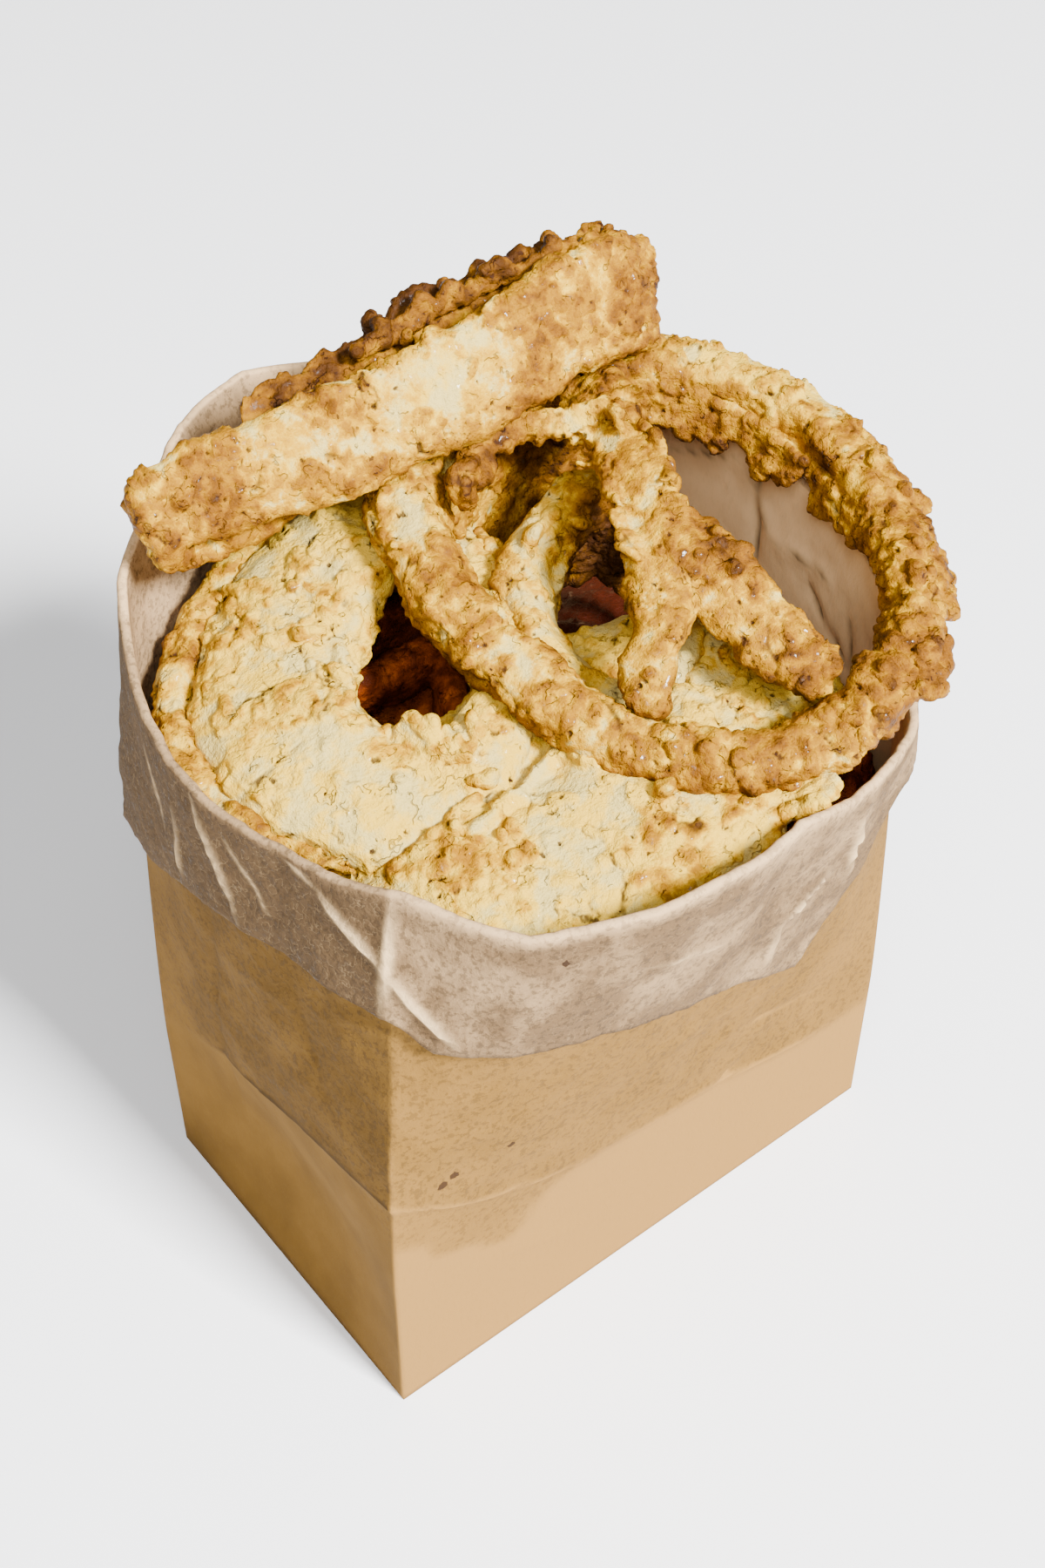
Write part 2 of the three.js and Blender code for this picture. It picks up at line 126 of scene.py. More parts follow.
# How each ring is fried. The first key is how brown it is over all, and rough how thick and lumpy
# its batter is. clusters is how many groups of crumbs stand on it, and seed starts its random draws.
# Each spot is a centre, a radius, the change of that brownness and of rough there, and how many
# crumbs it has; a few spots that darken hollows and cavities are painted shade. Each frill is a
# torn strip of batter: the line that it grows from, the way that it grows, its height, how torn it
# is, how it curls and its thickness. Lengths are in millimetres.
RINGS = {
    "ring_top": {
        "toasted_and_shaded": 0.4, "rough": 0.45, "clusters": 8, "seed": 1,
        "spots": [
            ((3, 26, 163), 8, -0.3, -0.5, 0),
            ((-26, 30, 157), 6, -0.2, -0.5, 0),
            ((18, 25, 164), 5, -0.2, -0.4, 0),
            ((29, 27, 170), 8, 0.1, 0.1, 0),
            ((17, 31, 170), 6, 0.12, 0.1, 0),
            ((-42, 34, 154), 11, 0.26, 0.25, 3),
            ((-14, 30, 164), 7, 0.14, 0.1, 0),
            ((46, 26, 164), 8, 0.26, 0.2, 4),
            # These spots brown the crisp far edge and also paint the slit behind it dark, as painted
            # shade.
            ((-36, 42, 157), 6, 0.6, 0.0, 1),
            ((-26, 43, 160), 6, 0.7, 0.0, 1),
            ((-16, 43, 162), 6, 0.7, 0.0, 2),
            ((-6, 43, 164), 6, 0.8, 0.0, 2),
            ((4, 42.5, 166), 6, 0.8, 0.0, 3),
            ((14, 42, 168), 6, 0.8, 0.1, 3),
            ((24, 41, 170), 6, 0.8, 0.2, 4),
            ((33, 39.5, 171), 6, 0.7, 0.3, 8),
            ((42, 36, 170), 6, 0.5, 0.3, 8),
            ((48, 30, 167), 5, 0.35, 0.3, 6),
        ],
        "frills": [
            ([(-24, 42, 160), (-10, 42.5, 163), (6, 42, 166), (24, 40, 169), (38, 37, 170.5)],
             (0.1, 0.6, 0.75), 2.6, 0.9, 0.7, 1.2),
            ([(-4, 38, 166), (10, 37.5, 168.5), (24, 36, 170.5), (38, 33, 171)],
             (-0.1, 0.15, 1), 2.6, 0.9, 0.8, 1.3),
            ([(28, 35, 171), (36, 33, 171.5), (43, 30, 170.5)], (0.3, 0.3, 0.9), 3.2, 0.8, 0.9, 1.3),
            ([(35, 37, 169), (42, 34.5, 168.5), (46.5, 29, 166.5), (47.5, 25, 162)],
             (0.8, 0.15, 0.55), 7.0, 0.35, 1.0, 2.2),
        ],
    },
    "ring_large": {
        "toasted_and_shaded": 0.52, "rough": 0.62, "clusters": 16, "seed": 2,
        "spots": [
            ((-5, 16, 146), 9, -0.18, 0.1, 2),
            ((-5, -18, 134), 6, -0.25, -0.2, 0),
            ((-8, -8, 137), 5, -0.15, -0.2, 0),
            ((1, -33, 129), 8, -0.1, 0.0, 2),
            ((20, -48, 128), 12, 0.0, 0.2, 10),
            ((30, -50, 130), 5, -0.3, 0.3, 4),
            ((52, -38, 138), 5, -0.3, 0.4, 4),
            ((8, -42, 130), 5, -0.3, 0.1, 3),
            ((38, -49, 132), 10, 0.15, 0.6, 34),
            ((47, -43, 135), 8, 0.15, 0.7, 34),
            ((57, -32, 138), 8, 0.12, 0.6, 28),
            ((61, 4, 145), 6, -0.5, 0.0, 2),
            ((62, -13, 142), 6, -0.45, 0.2, 4),
            ((36, 43, 150), 7, -0.45, 0.0, 2),
            ((50, 37, 151), 7, -0.45, 0.0, 2),
            ((61, 26, 150), 7, -0.4, 0.1, 3),
            ((69, 10, 147), 7, -0.35, 0.1, 3),
            ((59, 15, 148), 6, -0.4, 0.2, 3),
            ((8, 32, 135), 9, -0.45, -0.5, 0),
            ((30, 32, 136), 9, 0.45, 0.0, 0),
            ((54, 16, 140), 6, 0.3, 0.0, 0),
            ((59, -4, 137), 6, 0.3, 0.0, 0),
        ],
        "frills": [
            ([(2, 25, 143), (11, 31, 144), (20, 34, 144), (29, 34.5, 144), (38, 32, 144), (45, 27, 143)],
             (0.05, 0.02, -1), 26, 0.06, 0.1, 2.4),
            ([(40, 29, 144), (48, 24.5, 144), (54, 18.5, 143), (58.5, 9, 140.5), (60.5, -3, 137)],
             (-0.15, -0.1, -1), 7.5, 0.45, 0.3, 1.8),
            ([(61, -4, 137), (59.5, -12, 135.5), (57.5, -20, 134)], (-0.2, 0, -1), 5.0, 0.7, 0.3, 1.4),
            ([(40, -51, 130), (48, -46, 131), (56, -38, 132), (62, -30, 134)],
             (0.5, -0.5, -0.6), 4.0, 0.8, 0.6, 1.5),
            ([(-14, 8, 139), (-12, -4, 136), (-9, -14, 132), (-2, -26, 129)],
             (-0.8, -0.4, -0.2), 2.0, 0.7, 0.2, 1.4),
        ],
    },
    "ring_torn": {
        "toasted_and_shaded": 0.54, "rough": 0.5, "clusters": 6, "seed": 3,
        "spots": [
            ((30, 20, 150), 8, 0.05, 0.4, 26),
            ((12, 24, 148), 8, 0.25, 0.3, 18),
            ((24, 19, 151), 7, -0.25, 0.2, 6),
            ((12, -22, 140), 8, -0.15, -0.3, 0),
            ((16, -12, 146), 6, -0.12, -0.3, 0),
            ((27, -22, 145), 7, 0.28, 0.1, 3),
            ((26, -12, 148), 5, 0.25, 0.1, 3),
            ((24, -35, 135), 6, -0.1, -0.1, 0),
            ((29, -40, 133), 6, 0.2, 0.3, 6),
        ],
        "frills": [
            ([(33, 22, 151), (30, 16, 152), (27, 9, 152.5)], (-0.6, 0.1, 0.8), 3.2, 0.9, 0.8, 1.3),
            ([(0, 19, 147.5), (6, 23, 148.5), (12, 25, 149.5), (18, 23.5, 150), (24, 19, 151),
              (29, 16, 152)], (-0.35, -0.45, -0.8), 5.5, 0.5, 0.4, 2.6),
            ([(34, 16, 151), (31, 8, 152), (29, 1, 151.5)], (0.3, 0.2, 0.9), 2.6, 0.9, 0.6, 1.3),
            ([(21, 4, 149), (17, -4, 147), (14, -11, 145)], (-0.7, 0.3, 0.3), 2.6, 0.6, 0.5, 1.3),
        ],
    },
    "ring_left": {
        "toasted_and_shaded": -0.12, "rough": 0.52, "clusters": 14, "seed": 4,
        "spots": [
            ((-23, 17, 132), 8, 0.2, 0.2, 5),
            ((-29, 25, 133), 8, 0.12, 0.1, 2),
            ((-41, -9, 124), 11, -0.12, -0.55, 0),
            ((-36, 6, 127), 6, 0.22, 0.1, 3),
            ((-33, -5, 126), 5, 0.2, 0.1, 3),
            ((-47, 9, 127), 8, -0.1, -0.45, 0),
            ((-16, -18, 123), 9, -0.12, -0.6, 0),
            ((-31, -17, 122), 8, -0.1, -0.5, 0),
            ((-22, -12, 126), 6, 0.2, 0.5, 6),
            ((-15, 34, 138), 8, -0.05, -0.1, 2),
        ],
        "frills": [
            ([(-30, -1, 126), (-28, -7, 126.5), (-25, -11.5, 127)],
             (0.35, 0.3, 0.85), 5.0, 0.8, 0.9, 1.5),
            ([(-26, -11, 127), (-22, -13.5, 127.5), (-17, -13, 128)],
             (0.1, 0.45, 0.85), 5.5, 0.8, 0.9, 1.5),
            ([(-32, 4, 127), (-30, 10, 129), (-25, 15, 131)], (0.6, 0.1, 0.4), 2.4, 0.8, 0.4, 1.4),
        ],
    },
    "ring_inner": {
        "toasted_and_shaded": 0.1, "rough": 0.35, "clusters": 3, "seed": 5,
        "spots": [
            ((8, 0, 127), 8, -0.15, -0.3, 0),
            ((12, 10, 133), 7, -0.12, -0.3, 0),
            ((26, 13, 131), 7, 0.35, 0.3, 8),
            ((22, -6, 126), 7, 0.35, 0.2, 4),
            # This spot paints the hanging frill below dark brown, as painted shade in the hole.
            ((33, 17, 124), 12, 1.5, 0.0, 0),
        ],
        "frills": [
            ([(25, 16, 137), (21, 14.5, 136), (18, 12, 132), (14, 7, 128)],
             (0.7, -0.1, 0.35), 3.5, 0.8, 0.6, 1.4),
            # This frill hangs down into the hole. Painted dark by the spot above, it stands in for the
            # shaded cavity behind.
            ([(14, 17, 134), (22, 20, 136), (30, 18, 135), (37, 11, 131), (40, 2, 127)],
             (0.1, 0.15, -1), 22, 0.1, 0.1, 1.8),
        ],
    },
    "ring_front": {
        "toasted_and_shaded": -0.08, "rough": 0.5, "clusters": 12, "seed": 6,
        "spots": [
            ((-13, -32, 124), 6, -0.2, -0.6, 0),
            ((-13, -40, 122), 5, -0.15, -0.4, 0),
            ((-30, -28, 121), 8, 0.2, 0.2, 3),
            ((-5, -41, 121), 8, 0.2, 0.2, 2),
            ((8, -42, 121), 6, 0.22, 0.2, 3),
            ((14, -34, 122), 5, 0.2, 0.1, 2),
            ((19, -47, 121), 8, -0.1, 0.2, 6),
        ],
        "frills": [
            ([(-30, -26, 121), (-20, -24.5, 123), (-9.5, -22, 123), (-7, -29, 125)],
             (-0.3, 0.4, 0.85), 2.6, 0.3, 0.4, 1.5),
            ([(-18, -22, 121.5), (-12, -18.5, 122), (-5, -17, 122)], (-0.1, 0.9, 0.45), 7, 0.3, 0.3, 1.8),
            ([(12, -50.5, 118.5), (20, -46.5, 119), (26, -44.5, 119), (31, -42, 119.5), (37, -38, 120.5)],
             (0.45, -0.8, 0.4), 7, 0.4, 0.3, 2.2),
        ],
    },
    "ring_far_left": {
        "toasted_and_shaded": 0.34, "rough": 0.6, "clusters": 6, "seed": 7, "spots": [], "frills": [],
    },
}  # fmt: skip

# The rings lower down, which bear no crumbs or frills of their own. They are painted browner all
# over as shade deep in the bag, and the first spot paints the cavity seen through the rings dark
# brown: painted shadow.
HEAP = {
    "toasted_and_shaded": 0.95,
    "rough": 0.5,
    "seed": 8,
    "spots": [((36, 24, 101), 20, 2.6, 0, 0), ((24, 37, 117), 8, -0.5, -0.3, 0)],
}


# ------------------------------------------------------------------ settings


def number_setting(name, description, default, unit):
    return FloatProperty(name=name, description=description, default=default, unit=unit)


def colour_setting(name, description, default):
    return FloatVectorProperty(
        name=name, description=description, subtype="COLOR", default=default, min=0, max=1
    )


class PaperSettings(bpy.types.PropertyGroup):
    """Sizes and colours of the paper bag."""

    base_length: number_setting("Base Length", "Long side of the block bottom", 115 * MM, "LENGTH")
    base_width: number_setting("Base Width", "Short side of the block bottom", 75 * MM, "LENGTH")
    thickness: number_setting("Paper Thickness", "Two plies of kraft paper", 0.5 * MM, "LENGTH")
    crumple: number_setting(
        "Crumple", "Height of the small wrinkles in the handled parts", 0.5 * MM, "LENGTH"
    )
    outside: colour_setting("Outside", "Colour of the paper's outer side", (0.25, 0.132, 0.033))
    inside: colour_setting(
        "Inside", "Colour of the paper's inner side, which shows on the cuff", (0.75, 0.49, 0.25)
    )


class CrustSettings(bpy.types.PropertyGroup):
    """Relief and colours of the fried batter."""

    cell: number_setting("Cell", "Finest detail of a ring's mesh", 0.42 * MM, "LENGTH")
    heap_cell: number_setting(
        "Heap Cell", "Finest detail of the mesh of the rings lower down", 1.0 * MM, "LENGTH"
    )
    lumps: number_setting("Lumps", "Height of the batter's thick places", 0.9 * MM, "LENGTH")
    blisters: number_setting("Blisters", "Height of the bubbles in the crust", 0.55 * MM, "LENGTH")
    onion: colour_setting(
        "Onion", "Colour where the onion shows through thin batter", (0.52, 0.39, 0.11)
    )
    cream: colour_setting("Cream", "Colour of the palest batter", (0.62, 0.385, 0.03))
    yellow: colour_setting("Yellow", "Colour of lightly fried batter", (0.46, 0.235, 0.004))
    gold: colour_setting("Gold", "Colour of fried batter", (0.27, 0.118, 0.002))
    deep: colour_setting("Deep Gold", "Colour of well fried crumbs", (0.155, 0.057, 0.003))
    # Brown is also the colour of painted shade in hollows and in the cavity deep in the bag.
    brown: colour_setting("Brown", "Colour of the crispest crumbs and of cracks", (0.033, 0.011, 0.003))


class StageSettings(bpy.types.PropertyGroup):
    """Floor and light."""

    floor: colour_setting("Floor", "Colour of the floor", (0.98, 0.985, 1.0))
    key: number_setting("Key Light", "Power of the light from the front", 415, "POWER")
    top: number_setting("Top Light", "Power of the light overhead", 14, "POWER")
    fill: number_setting("Fill Light", "Power of the soft light from the left", 60, "POWER")
    sky: FloatProperty(
        name="Sky Light",
        description="Strength of the even light from all sides",
        default=0.1,
        min=0,
    )


# ------------------------------------------------------------------ patterns in space

# The twelve ways from the middle of a cube to its edges.
WAYS = np.array([w for w in itertools.product((-1, 0, 1), repeat=3) if np.abs(w).sum() == 2])
CELL_PRIMES = np.array([73856093, 19349663, 83492791])
SALT_PRIME = 2971215073
SCATTER = 1103515245
SALT_SHIFT = 7.31  # how far each salt moves a pattern on, in features
GRID = 1021  # steps along a cell's side at which its centre may lie
NUMBERS = 997  # how many different numbers a centre may have
OCTAVES = 3


def ease(low, high, value):
    """0 below low, 1 above high, and smooth between them."""
    share = np.clip((value - low) / (high - low), 0, 1)
    return share * share * (3 - 2 * share)


def scattered(cell, salt):
    """A repeatable random whole number for each cell of a lattice."""
    number = np.bitwise_xor.reduce(cell * CELL_PRIMES, axis=1) ^ salt * SALT_PRIME
    for shift in (13, 9):
        number = (number ^ (number >> shift)) * SCATTER & 0x7FFFFFFF
    return number


def ripple(points, size, salt):
    """Smooth noise between about -1 and 1, with features of that size."""
    place = points / size + salt * SALT_SHIFT
    corner = np.floor(place).astype(np.int64)
    part = place - corner
    fade = part**3 * (part * (part * 6 - 15) + 10)
    total = 0
    for step in itertools.product((0, 1), repeat=3):
        way = WAYS[scattered(corner + step, salt) % len(WAYS)]
        weight = np.prod(np.where(step, fade, 1 - fade), axis=1)
        total = total + weight * ((part - step) * way).sum(axis=1)
    return total


def ripples(points, size, salt):
    """Noise with ever finer features, each half as high."""
    return sum(ripple(points, size / 2**i, salt + i) / 2**i for i in range(OCTAVES))


def warp(points, size, reach, salt):
    """The points shifted by noise, so that a pattern there doesn't look even."""
    return points + reach * np.stack([ripple(points, size, salt + i) for i in range(3)], axis=1)


def cells(points, size, salt):
    """Distance to the nearest of scattered centres, in cells, and that centre's own number."""
    place = points / size
    corner = np.floor(place).astype(np.int64)
    nearest = np.full(len(points), np.inf)
    number = np.zeros(len(points))
    for step in itertools.product((-1, 0, 1), repeat=3):
        cell = corner + step
        code = scattered(cell, salt)
        centre = cell + np.stack([code // GRID**i % GRID for i in range(3)], axis=1) / GRID
        distance = np.sqrt(((place - centre) ** 2).sum(axis=1))
        number = np.where(distance < nearest, code % NUMBERS / NUMBERS, number)
        nearest = np.minimum(nearest, distance)
    return nearest, number


def domes(points, size, salt, radius):
    """Round bumps from 0 to 1, one to a cell, and each one's own number. radius is in cells."""
    nearest, number = cells(points, size, salt)
    return np.clip(1 - (nearest / radius) ** 2, 0, 1), number


# ------------------------------------------------------------------ meshes


def new_object(name, bm):
    mesh = bpy.data.meshes.new(name)
    bm.to_mesh(mesh)
    bm.free()
    thing = bpy.data.objects.new(name, mesh)
    bpy.context.scene.collection.objects.link(thing)
    return thing


def with_modifiers(thing):
    """A new mesh of the object as its modifiers make it."""
    made = thing.evaluated_get(bpy.context.evaluated_depsgraph_get())
    mesh = bpy.data.meshes.new_from_object(made)
    thing.modifiers.clear()
    return mesh


def apply_modifiers(thing):
    """Puts what the modifiers make in the object's own mesh."""
    old = thing.data
    thing.data = with_modifiers(thing)
    bpy.data.meshes.remove(old)
    thing.data.name = thing.name


def read(items, what):
    """The places of a mesh's vertices or its normals, as rows of three numbers."""
    values = np.empty(len(items) * 3)
    items.foreach_get(what, values)
    return values.reshape(-1, 3)


def write_attribute(mesh, name, values):
    layer = mesh.attributes.get(name) or mesh.attributes.new(name, "FLOAT", "POINT")
    layer.data.foreach_set("value", np.ascontiguousarray(values, dtype=np.float32))


def finish_piece(thing, materials, slot, *nodes):
    """Gives a piece its materials and smooth shading, and sets it in the place of its nodes."""
    thing.data.materials.clear()
    for material in materials:
        thing.data.materials.append(material)
    thing.data.polygons.foreach_set("use_smooth", [True] * len(thing.data.polygons))
    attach(thing, "root")
    if nodes:
        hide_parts(*nodes)


# ------------------------------------------------------------------ materials


class Value:
    """A node's output that can be used in an expression."""

    def __init__(self, finish, socket):
        self.finish = finish
        self.socket = socket

    def _math(self, operation, first, second=0.0):
        return self.finish.node("ShaderNodeMath", {"operation": operation}, {0: first, 1: second})

    def __add__(self, other):
        return self._math("ADD", self, other)

    def __sub__(self, other):
        return self._math("SUBTRACT", self, other)

    def __rsub__(self, other):
        return self._math("SUBTRACT", other, self)

    def __mul__(self, other):
        return self._math("MULTIPLY", self, other)

    def __abs__(self):
        return self._math("ABSOLUTE", self)

    def clamped(self):
        return self.finish.node("ShaderNodeClamp", {}, {0: self})

    def ease(self, low, high):
        """0 below low, 1 above high, and smooth between them."""
        settings = {"interpolation_type": "SMOOTHSTEP"}
        inputs = {"Value": self, "From Min": low, "From Max": high}
        return self.finish.node("ShaderNodeMapRange", settings, inputs)


# A Mix node's sockets for colours. They share their names with those for numbers.
MIX_FIRST, MIX_SECOND, MIX_RESULT = 6, 7, 2


class Finish:
    """A material whose shader is written as expressions."""

    def __init__(self, name, **constants):
        self.material = bpy.data.materials.new(name)
        self.material.use_nodes = True
        self.tree = self.material.node_tree
        self.shader = self.tree.nodes["Principled BSDF"]
        for socket, value in constants.items():
            self.shader.inputs[socket.replace("_", " ")].default_value = value
        self.place = self.node("ShaderNodeTexCoord", {}, {}, "Object")

    def node(self, kind, settings, inputs, output=0):
        """A node of that kind, with its settings first and then its sockets' values or links."""
        made = self.tree.nodes.new(kind)
        for name, value in settings.items():
            setattr(made, name, value)
        for socket, value in inputs.items():
            if isinstance(value, Value):
                self.tree.links.new(value.socket, made.inputs[socket])
            else:
                made.inputs[socket].default_value = value
        return Value(self, made.outputs[output])

    def attribute(self, name):
        return self.node("ShaderNodeAttribute", {"attribute_name": name}, {}, "Fac")

    def noise(self, size, detail=3.0, roughness=0.55, stretch=(1, 1, 1)):
        """Noise from 0 to 1 with features of that size in metres."""
        scaled = self.node("ShaderNodeMapping", {}, {"Vector": self.place, "Scale": stretch})
        inputs = {"Vector": scaled, "Scale": 1 / size, "Detail": detail, "Roughness": roughness}
        return self.node("ShaderNodeTexNoise", {}, inputs)

    def mix(self, first, second, share):
        """A colour between two, each a value or a colour of three numbers."""
        ends = [c if isinstance(c, Value) else (*c, 1) for c in (first, second)]
        inputs = {0: share, MIX_FIRST: ends[0], MIX_SECOND: ends[1]}
        return self.node("ShaderNodeMix", {"data_type": "RGBA"}, inputs, MIX_RESULT)

    def set(self, socket, value):
        self.tree.links.new(value.socket, self.shader.inputs[socket])

    def bump(self, height, distance):
        self.set("Normal", self.node("ShaderNodeBump", {}, {"Distance": distance, "Height": height}))


GREASE_AND_SHADE_OUTSIDE = (0.155, 0.08, 0.016)
GREASE_AND_SHADE_INSIDE = (0.13, 0.078, 0.037)
SPECK = (0.025, 0.012, 0.006)


def paper_finish(name, clean, grease_and_shade, soiled, crinkled):
    """Kraft paper with fibres, crinkles, grease, pale and dark creases and a few dark specks.

    soiled and crinkled name the attributes that say how greasy and how crinkled each place is.
    The grease colour and the soiled mask also carry painted shade: the left side, the cuff on that
    side and the inner left wall are painted darker as shade. Pale creases and crinkle ridges are
    partly wear and partly a painted highlight, and dark creases are painted shade.
    """
    finish = Finish(name, Specular_IOR_Level=0.06)
    soiled = finish.attribute(soiled)
    crinkled = finish.attribute(crinkled)
    crease = finish.attribute("crease")
    fibres = finish.noise(0.8 * MM, 4, 0.7, (1, 1, 0.4))
    clouds = finish.noise(14 * MM, 3)
    crinkle = abs(finish.noise(2.2 * MM, 2, 0.5) - 0.5)
    mottle = finish.noise(1.2 * MM, 4, 0.7)
    dark = tuple(c * 0.5 for c in grease_and_shade)
    crease_shade = tuple(c * 0.2 for c in grease_and_shade)
    pale = tuple(min(1, c * 1.4) for c in clean)
    cloudy = clouds.ease(0.3, 0.7) * 0.3 + 0.7
    # The grease mask also carries painted shade: the left side and the inner left wall are painted darker
    # as shade.
    stained_and_shaded = soiled * cloudy
    base = finish.mix(clean, grease_and_shade, (stained_and_shaded + fibres.ease(0.45, 0.8) * 0.12).clamped())
    # Its second part darkens where the mask runs high, which is mostly the left side: painted shade.
    soaked_and_shaded = mottle.ease(0.5, 0.6) * crinkled * cloudy * 0.7 + stained_and_shaded.ease(0.9, 1.6) * 0.7
    base = finish.mix(base, dark, soaked_and_shaded.clamped())
    # Creases, and to a small degree the crinkle ridges, are made paler: partly wear, partly painted
    # highlight.
    wear_and_painted_light = crinkle.ease(0.02, 0.0) * stained_and_shaded * 0.04 + crease.ease(0.1, 1.0) * 0.6
    base = finish.mix(base, pale, wear_and_painted_light)
    # Creases marked below zero are painted dark, as painted shade.
    base = finish.mix(base, crease_shade, crease.ease(-0.1, -1.0) * 0.8)
    speck = finish.attribute("speck") + fibres * 0.5
    base = finish.mix(base, SPECK, speck.ease(0.75, 0.85) * 0.9)
    finish.set("Base Color", base)
    finish.set("Roughness", 0.86 - mottle.ease(0.5, 0.7) * crinkled * 0.2)
    finish.bump(fibres * 0.3 + crinkle * crinkled * 0.8 + mottle * crinkled * 0.5, 0.35 * MM)
    return finish.material


SHADES = ("onion", "cream", "yellow", "gold", "deep", "brown")
HEAP_TINT = (1.15, 0.54, 0.6)  # lower down the batter is a deeper orange: painted shade


def crust_finish(name, look, tint=(1, 1, 1)):
    """Fried batter, from cream through gold to brown, with cracks, pores and oily glints.

    Its brown and dark marks are partly painted shade: in hollows, on faces that turn down and in
    the cavity deep in the bag.
    """
    finish = Finish(name, Specular_IOR_Level=0.06, Coat_Roughness=0.18)
    onion, cream, yellow, gold, deep, brown = (
        tuple(c * t for c, t in zip(getattr(look, shade), tint)) for shade in SHADES
    )
    browned = finish.attribute("browned")
    thin = finish.attribute("thin")
    pore = finish.attribute("pore")
    patches = finish.noise(5 * MM, 4, 0.6)
    mottle = finish.noise(1.9 * MM, 3, 0.6)
    grain = finish.noise(0.7 * MM, 3, 0.7)
    busy = browned.ease(0.05, 0.6) * 1.1 + 0.5
    toast = browned + (patches - 0.5) * 0.9 + (mottle - 0.5) * busy + (grain - 0.5) * 0.4
    base = finish.mix(cream, onion, thin * (1 - patches.ease(0.4, 0.6)))
    base = finish.mix(base, yellow, toast.ease(0.05, 0.35))
    base = finish.mix(base, gold, toast.ease(0.28, 0.62))
    base = finish.mix(base, deep, toast.ease(0.62, 1.05))
    where = finish.noise(3.2 * MM, 2).ease(0.52, 0.6)
    cracks = abs(finish.noise(6 * MM, 3, 0.6) - 0.5).ease(0.014, 0.004) * where
    flecks = finish.noise(1.1 * MM, 2, 0.5).ease(0.66, 0.72)
    # The pore marks are partly painted shade in hollows.
    marks = flecks * busy * 0.5 + pore.ease(0.25, 0.9) * 0.9 + cracks * 0.45
    # The darkest brown also paints shade into hollows and into the cavity deep in the bag.
    burnt_and_shaded = toast.ease(0.95, 1.5) * 0.8 + toast.ease(1.5, 2.2) * 0.2
    base = finish.mix(base, brown, (marks + burnt_and_shaded).clamped())
    finish.set("Base Color", base)
    finish.set("Roughness", 0.6 - mottle * 0.2)
    finish.set("Coat Weight", mottle.ease(0.6, 0.7) * 0.5)
    finish.bump(mottle + grain * 0.8 - cracks * 0.5, 0.6 * MM)
    return finish.material


# ------------------------------------------------------------------ the paper bag

BLOCK_HEIGHT = 35  # the wall is square up to here, then it rounds towards the rim
ROUNDING = 1.3
FOLD_GAP = 0.7  # between wall and cuff, just under the rim
CUFF_FLARE = 1.6
SIDE_DENT = 5
SIDE_DENT_HEIGHT = 26
FLAT_FOOT = 8  # the dent fades out below this height
LEFT_SIDE = 3
LONG_SIDE_STEPS = 104
SHORT_SIDE_STEPS = 66
WALL_STEPS = 100
FOLD_ROW = 34  # the row that lies on the flat fold
CREST_STEPS = 4
CUFF_STEPS = 32
CREST_DROP = 1.4  # the sheet starts to turn over this far under the rim
CUFF_START = 0.25  # the share of the cuff over which its own relief sets in
# Pale crease lines are partly wear and partly painted highlight, and dark ones are painted shade.
SHARPNESS = 0.8  # half width of the line painted along a crease
CREASE_FADING = 0.7  # how much of a crease is gone at its ends
SMOOTH_CORNERS = ((147, 14), (-33, 8))  # where the flat fold dies out, as (angle, reach)
HIDDEN_FROM = 97  # above this the wall's outer face is under the cuff, and only its inner face shows
ARM = 60  # the wall's usual distance from the axis, to turn degrees into lengths
FOLD_STEP = 0.55  # how far the paper above the flat fold stands out over the smooth body
FOLD_RIDGE = 0.9  # and how far the fold itself stands out
RUN_ANGLE, RUN_REACH, RUN_DROP = -136, 14, 17  # where the soiled part runs down below the fold
SOILED = 0.95  # how soiled the paper above the flat fold is
UNDER_FOLD = 0.8  # the share of that where it runs down
# The left side is painted darker, partly as grease and partly as painted shade.
LEFT_SOILED_AND_SHADED, LEFT_ABOVE = 1.25, 0.45  # the left side, and what it gains above the fold
LEFT_CREASES = -0.5  # creases on the left side are painted dark, as shade, and not pale
FOLD_MARK, LEFT_FOLD_MARK = 0.9, -1.3  # so is the flat fold there, painted dark as shade
FACET, WRINKLE, FINE = (17, 2.4), (6, 0.8), (2.6, 0.5)  # crumples, as (size, share of the height)
CRUMPLED_FROM = 14  # the foot has no crumples below this height
CORNER_MARK = 0.6  # how pale the upright corners are, partly wear, partly painted highlight
CORNER_FADING = (91, 70)  # and the heights between which that sets in, going down
INSIDE_SHADE = 0.85
INSIDE_FADING = (25, -15)  # painted shade inside, from the first x to the second, going left
# The crest's share is kept low, so that the crest shows paler: a painted highlight along the rim.
CUFF_CREST, CUFF_MORE = 0.5, 0.65  # shares of its soiling: the crest's, and what the cuff adds
BOTTOM_INSET = 0.995
# The floor and its two flaps: lower and upper face, share of the width, and the side that is cut.
BOTTOM_PLIES = ((0.35, 1.1, 1.0, -1), (0.15, 0.5, 0.62, -1), (0.0, 0.3, 0.3, 1))


def around(table, column, angle):
    """A column of a table of (angle, value, ...) rows at an angle, going round the circle."""
    return np.interp(angle, [row[0] for row in table], [row[column] for row in table], period=360)


